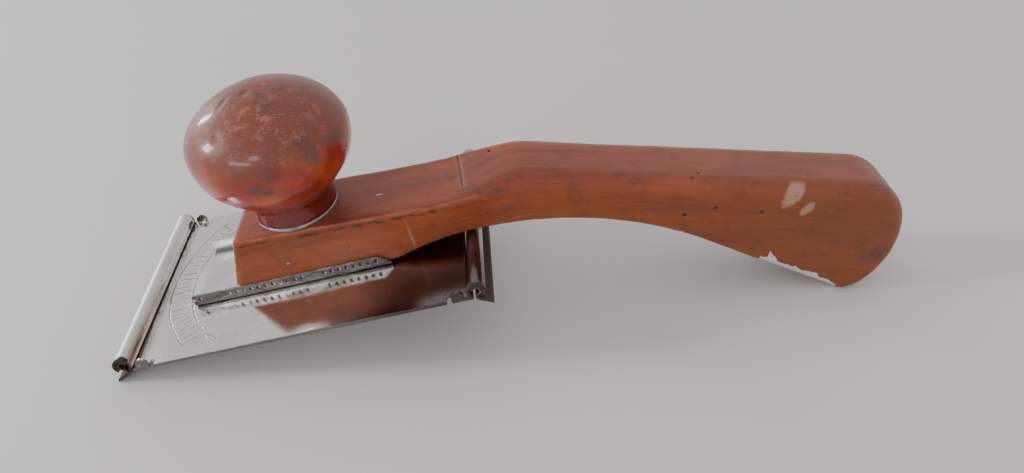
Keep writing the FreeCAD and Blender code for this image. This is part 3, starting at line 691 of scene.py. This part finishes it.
height = f.bump(grain + fibre * 0.5 - pores * 0.8, 0.018, 0.6)
hollows = cracked * 4 + hole_mask * 2 + chips
height = f.bump(ragged * 0.5 + scuffed * 0.4 - hollows, 0.04, 0.6, height)
handle_lacquer = f.end(Base_Color=wood, Roughness=rough, Coat_Weight=(1 - bare) * 0.15,
                       Coat_Roughness=0.22, Specular_IOR_Level=0.32, Normal=height)
paint(handle, handle_lacquer)
lay(handle, "tool", "handle")


# Knob washer
# A thin ring of dull steel between the knob's foot and the block, its rim rounded off.
WASHER_RADIUS, WASHER_BORE, WASHER_GAUGE = 11.2, 2.8, 1.0
# the block's top falls a little, and the knob stands square to it
KNOB_LEAN = math.radians(2.896)
washer_low, washer_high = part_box("knob_washer")
knob_frame = (Matrix.Translation((washer_low + washer_high) / 2)
              @ Matrix.Rotation(KNOB_LEAN - TILT, 4, "Y") @ Matrix.Scale(MM, 4)
              @ Matrix.Translation((0, 0, -WASHER_GAUGE / 2)))


def turn_round(steps):
    """Turn the outline that is being drawn about the upright axis, and close its seam."""
    bpy.ops.mesh.select_all(action="SELECT")
    bpy.ops.mesh.spin(steps=steps, angle=2 * math.pi, center=(0, 0, 0), axis=(0, 0, 1))
    bpy.ops.mesh.select_all(action="SELECT")
    bpy.ops.mesh.remove_doubles(threshold=0.001)
    bpy.ops.mesh.normals_make_consistent(inside=False)
    bpy.ops.object.mode_set(mode="OBJECT")


def draw_profile(name, points):
    """Draw an outline as bare edges, without filling it."""
    piece = draw_outline(name, points)
    bpy.ops.mesh.delete(type="ONLY_FACE")
    return piece


ring = draw_profile("knob_washer_ring", [
    (WASHER_BORE, 0), (WASHER_RADIUS - 0.1, 0), (WASHER_RADIUS, 0.1),
    (WASHER_RADIUS, WASHER_GAUGE - 0.2), (WASHER_RADIUS - 0.2, WASHER_GAUGE),
    (WASHER_BORE, WASHER_GAUGE)])
turn_round(96)
make_active(ring)
bpy.ops.object.shade_smooth_by_angle(angle=math.radians(50))
f = Finish("dull_steel", knob_frame)
smudge = f.noise(f.at, 0.35, 4, 0.6)
brushed = f.noise(f.stretched(2.5, 2.5, 0.3), 1.0, 4, 0.6)
colour = f.mix(f.step(smudge, 0.42, 0.68) * 0.7, (0.34, 0.345, 0.36), (0.17, 0.15, 0.145))
colour = f.mix(f.step(f.noise(f.at, 1.3, 4), 0.60, 0.72) * 0.7, colour, RUST)
washer_steel = f.end(Base_Color=colour, Roughness=0.38 + smudge * 0.25, Metallic=0.85,
                     Normal=f.bump(brushed, 0.03, 0.7))
paint(ring, washer_steel)
ring.data.transform(knob_frame)
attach(ring, "tool")
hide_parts("knob_washer")


# Knob
# Turned hardwood with a thick neck and a flattened ball for the palm, in glossy red lacquer that
# is rubbed dull and scuffed on top.
KNOB_FOOT, KNOB_NECK, KNOB_RADIUS = 11.2, 11.1, 20.9
BORE_RADIUS, BORE_DEPTH = 2.45, 18.0


def swell(start, end, radius, steps, hollow=False):
    """Points from one place to another along an arc that bulges out, or in where it is hollow."""
    chord = Vector((end[0] - start[0], end[1] - start[1]))
    middle = Vector((start[0] + end[0], start[1] + end[1])) / 2
    square = Vector((-chord.y, chord.x)).normalized() * (-1 if hollow else 1)
    centre = middle + square * math.sqrt(radius ** 2 - (chord.length / 2) ** 2)
    first = math.atan2(start[1] - centre.y, start[0] - centre.x)
    last = math.atan2(end[1] - centre.y, end[0] - centre.x)
    turn = (last - first + math.pi) % (2 * math.pi) - math.pi
    return arc(centre, radius, math.degrees(first), math.degrees(first + turn), steps)


flare, bowl, equator = (11.874, 5.411), (17.146, 11.245), (KNOB_RADIUS, 21.0)
shoulder, crown = (16.7, 29.8), (1.0, 35.9)
profile = [(BORE_RADIUS, 0), (KNOB_FOOT - 0.3, 0), (KNOB_FOOT, 0.3)]
profile += swell((KNOB_FOOT, 1.0), (KNOB_NECK, 3.4), 28.85, 6, hollow=True)
profile += swell((KNOB_NECK, 3.4), flare, 3.0, 8, hollow=True)[1:]
profile += [((flare[0] + bowl[0]) / 2, (flare[1] + bowl[1]) / 2)]
profile += swell(bowl, equator, 14.55, 18) + swell(equator, shoulder, 11.32, 16)[1:]
profile += swell(shoulder, crown, 27.4, 18)[1:]
profile += [(0, crown[1]), (0, BORE_DEPTH), (BORE_RADIUS, BORE_DEPTH)]
knob = draw_profile("turned_knob", profile)
turn_round(144)
points, normals = get_points(knob), get_normals(knob)
outer = smooth_step(np.hypot(points[:, 0], points[:, 1]), KNOB_NECK - 1, KNOB_NECK)
outer = np.maximum(outer, smooth_step(points[:, 2], 25, 28))
dents = smooth_step(ripple(points, 11, 5.5) * 0.7 + ripple(points, 12, 15) * 0.6, 0.9, 1.7)
depth = 0.09 * ripple(points, 13, 20) + 0.03 * ripple(points, 14, 6) - 0.22 * dents
depth *= smooth_step(points[:, 2], 1.0, 5.0)
points += normals * (np.minimum(depth, 0.06) * outer)[:, None]
knob.data.vertices.foreach_set("co", points.ravel())
knob.data.update()
make_active(knob)
bpy.ops.object.shade_smooth_by_angle(angle=math.radians(45))

LACQUER = (0.26, 0.016, 0.006)
LACQUER_BRIGHT = (0.39, 0.050, 0.010)
LACQUER_NECK_PAINTED_SHADE = (0.115, 0.006, 0.004)
LACQUER_RUBBED = (0.160, 0.040, 0.024)
LACQUER_SCUFFED = (0.42, 0.195, 0.125)

knob_place = knob_frame @ Matrix.Translation((0, 0, WASHER_GAUGE))
f = Finish("knob_lacquer", knob_place)
x, y, z = f.axes()
cloud = f.noise(f.at, 0.075, 5, 0.6)
ragged = f.noise(f.at, 0.42, 6, 0.72)
fleck = f.noise(f.at, 0.36, 6, 0.72)
worn_place = f.step(z + (cloud - 0.5) * 16 + x * 0.10, 18.0, 26.0)
colour = f.mix(f.step(f.noise(f.at, 0.11, 3), 0.42, 0.66), LACQUER, LACQUER_BRIGHT)
# painted shade: the knob is painted darker toward its foot, under the ball
colour = f.mix(f.step(z, 11.5, 3.5) * 0.95, colour, LACQUER_NECK_PAINTED_SHADE)
colour = f.mix(worn_place * f.step(ragged, 0.18, 0.46) * 0.88, colour, LACQUER_RUBBED)
dark_patch = f.step(f.noise(f.at, 0.16, 5, 0.65), 0.50, 0.66) * f.step(z, 16, 24)
colour = f.mix(dark_patch * 0.72, colour, (0.085, 0.030, 0.024))
scuff_place = f.spot((2.0, -9.0, 29.0), (17.0, 12.0, 10.0), 0.45, (ragged - 0.5) * 1.6)
scuff_place = f.maths("MAXIMUM", scuff_place, f.step(z, 24, 33) * 0.45)
scuffed = f.step(fleck + (ragged - 0.5) * 0.5, 0.50, 0.68) * scuff_place
colour = f.mix(scuffed * 0.55, colour, LACQUER_SCUFFED)
scratches = f.step(f.noise(f.stretched(0.5, 3.0, 1.2), 0.9, 2, 0.5, 1.2), 0.645, 0.69) * scuff_place
colour = f.mix(scratches * 0.45, colour, LACQUER_SCUFFED)
grey = None
for centre, reach in (((7.6, -10.8, 7.5), (3.2, 3, 1.4)), ((10.6, -8.6, 9.2), (3.0, 3, 1.5)),
                      ((-0.6, -19.0, 19.0), (2.2, 3, 1.4)), ((1.9, -19.0, 17.6), (2.0, 3, 1.2)),
                      ((13.5, -13.0, 22.0), (1.5, 3, 3.4))):
    patch = f.spot(centre, reach, 0.45, (ragged - 0.5) * 2.0)
    grey = patch if grey is None else f.maths("MAXIMUM", grey, patch)
colour = f.mix(grey * 0.80, colour, (0.085, 0.052, 0.047))
specks = f.step(f.cells(f.at, 0.30), 0.07, 0.03)
colour = f.mix(specks * 0.7, colour, (0.045, 0.016, 0.012))
rough = 0.28 + worn_place * 0.13 + scuffed * 0.2 + grey * 0.2 + (ragged - 0.5) * 0.12
coat = 0.50 - worn_place * 0.18 - scuffed * 0.2 - grey * 0.2
normal = f.bump(f.noise(f.at, 0.22, 3), 0.20, 0.5)
normal = f.bump(fleck * 0.6 + ragged - scuffed * 0.7 - scratches, 0.04, 0.5, normal)
knob_lacquer = f.end(Base_Color=colour, Roughness=rough, Coat_Weight=coat, Coat_Roughness=0.10,
                     Specular_IOR_Level=0.35, Normal=normal)
paint(knob, knob_lacquer)
knob.data.transform(knob_place)
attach(knob, "tool")
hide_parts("knob")


# Screws
# A long machine screw ties plate, saddle, block, washer and knob together from below, and a wood
# screw each side of it holds plate and saddle to the block. Their slotted heads show underneath.
f = Finish("screw_steel", tool_frame)
smudge = f.noise(f.at, 0.5, 4, 0.6)
turned = f.noise(f.stretched(3, 3, 0.5), 1.0, 3, 0.6)
colour = f.mix(f.step(smudge, 0.40, 0.66), (0.36, 0.34, 0.32), (0.10, 0.065, 0.048))
screw_steel = f.end(Base_Color=colour, Roughness=0.42 + smudge * 0.3, Metallic=0.9,
                    Normal=f.bump(turned, 0.05, 0.7))
for node in ("knob_screw", "plate_screws"):
    screw = frame["nodes"][node]
    screw.data.materials.clear()
    screw.data.materials.append(screw_steel)


# Table and light
# A plain pale table, an even pale room, and four window lights: two low ones at the left, behind
# and beside the tool, and two weak ones behind the viewer, one of them low and wide.
bpy.ops.mesh.primitive_plane_add(size=4.0, location=(0, 0, -0.0001))
table = bpy.context.object
table.name = table.data.name = "table"
f = Finish("table_top", Matrix.Scale(1.0, 4))
mottle = f.noise(f.at, 9.0, 3)
tone = f.mix(mottle, (0.60, 0.595, 0.585), (0.63, 0.625, 0.615))
table.data.materials.append(f.end(Base_Color=tone, Roughness=0.55))

world = bpy.data.worlds.new("room")
bpy.context.scene.world = world
world.use_nodes = True
world.node_tree.nodes["Background"].inputs["Color"].default_value = (1.0, 0.98, 0.955, 1)
world.node_tree.nodes["Background"].inputs["Strength"].default_value = 0.87

target = Vector((-0.06, -0.01, 0.05))
WINDOWS = [
    # direction from the knob, width, height, distance, power, colour
    ((-0.74, 0.64, 0.22), 0.08, 0.20, 1.1, 2.4, (0.94, 0.97, 1.0)),
    ((-0.91, 0.0, 0.39), 0.22, 0.22, 1.0, 6.0, (0.96, 0.98, 1.0)),
    ((-0.26, -0.83, 0.46), 0.22, 0.18, 1.2, 1.2, (1.0, 0.98, 0.97)),
    ((-0.50, -0.76, 0.26), 0.60, 0.10, 1.2, 1.8, (0.96, 0.98, 1.0)),
]
for number, (direction, width, height, distance, power, tint) in enumerate(WINDOWS):
    window = bpy.data.lights.new("window_%d" % number, "AREA")
    window.shape = "RECTANGLE"
    window.size, window.size_y = width, height
    window.energy = power
    window.color = tint
    lamp = bpy.data.objects.new("window_%d" % number, window)
    bpy.context.scene.collection.objects.link(lamp)
    lamp.location = target + Vector(direction).normalized() * distance
    lamp.rotation_euler = (lamp.location - target).to_track_quat("Z", "Y").to_euler()
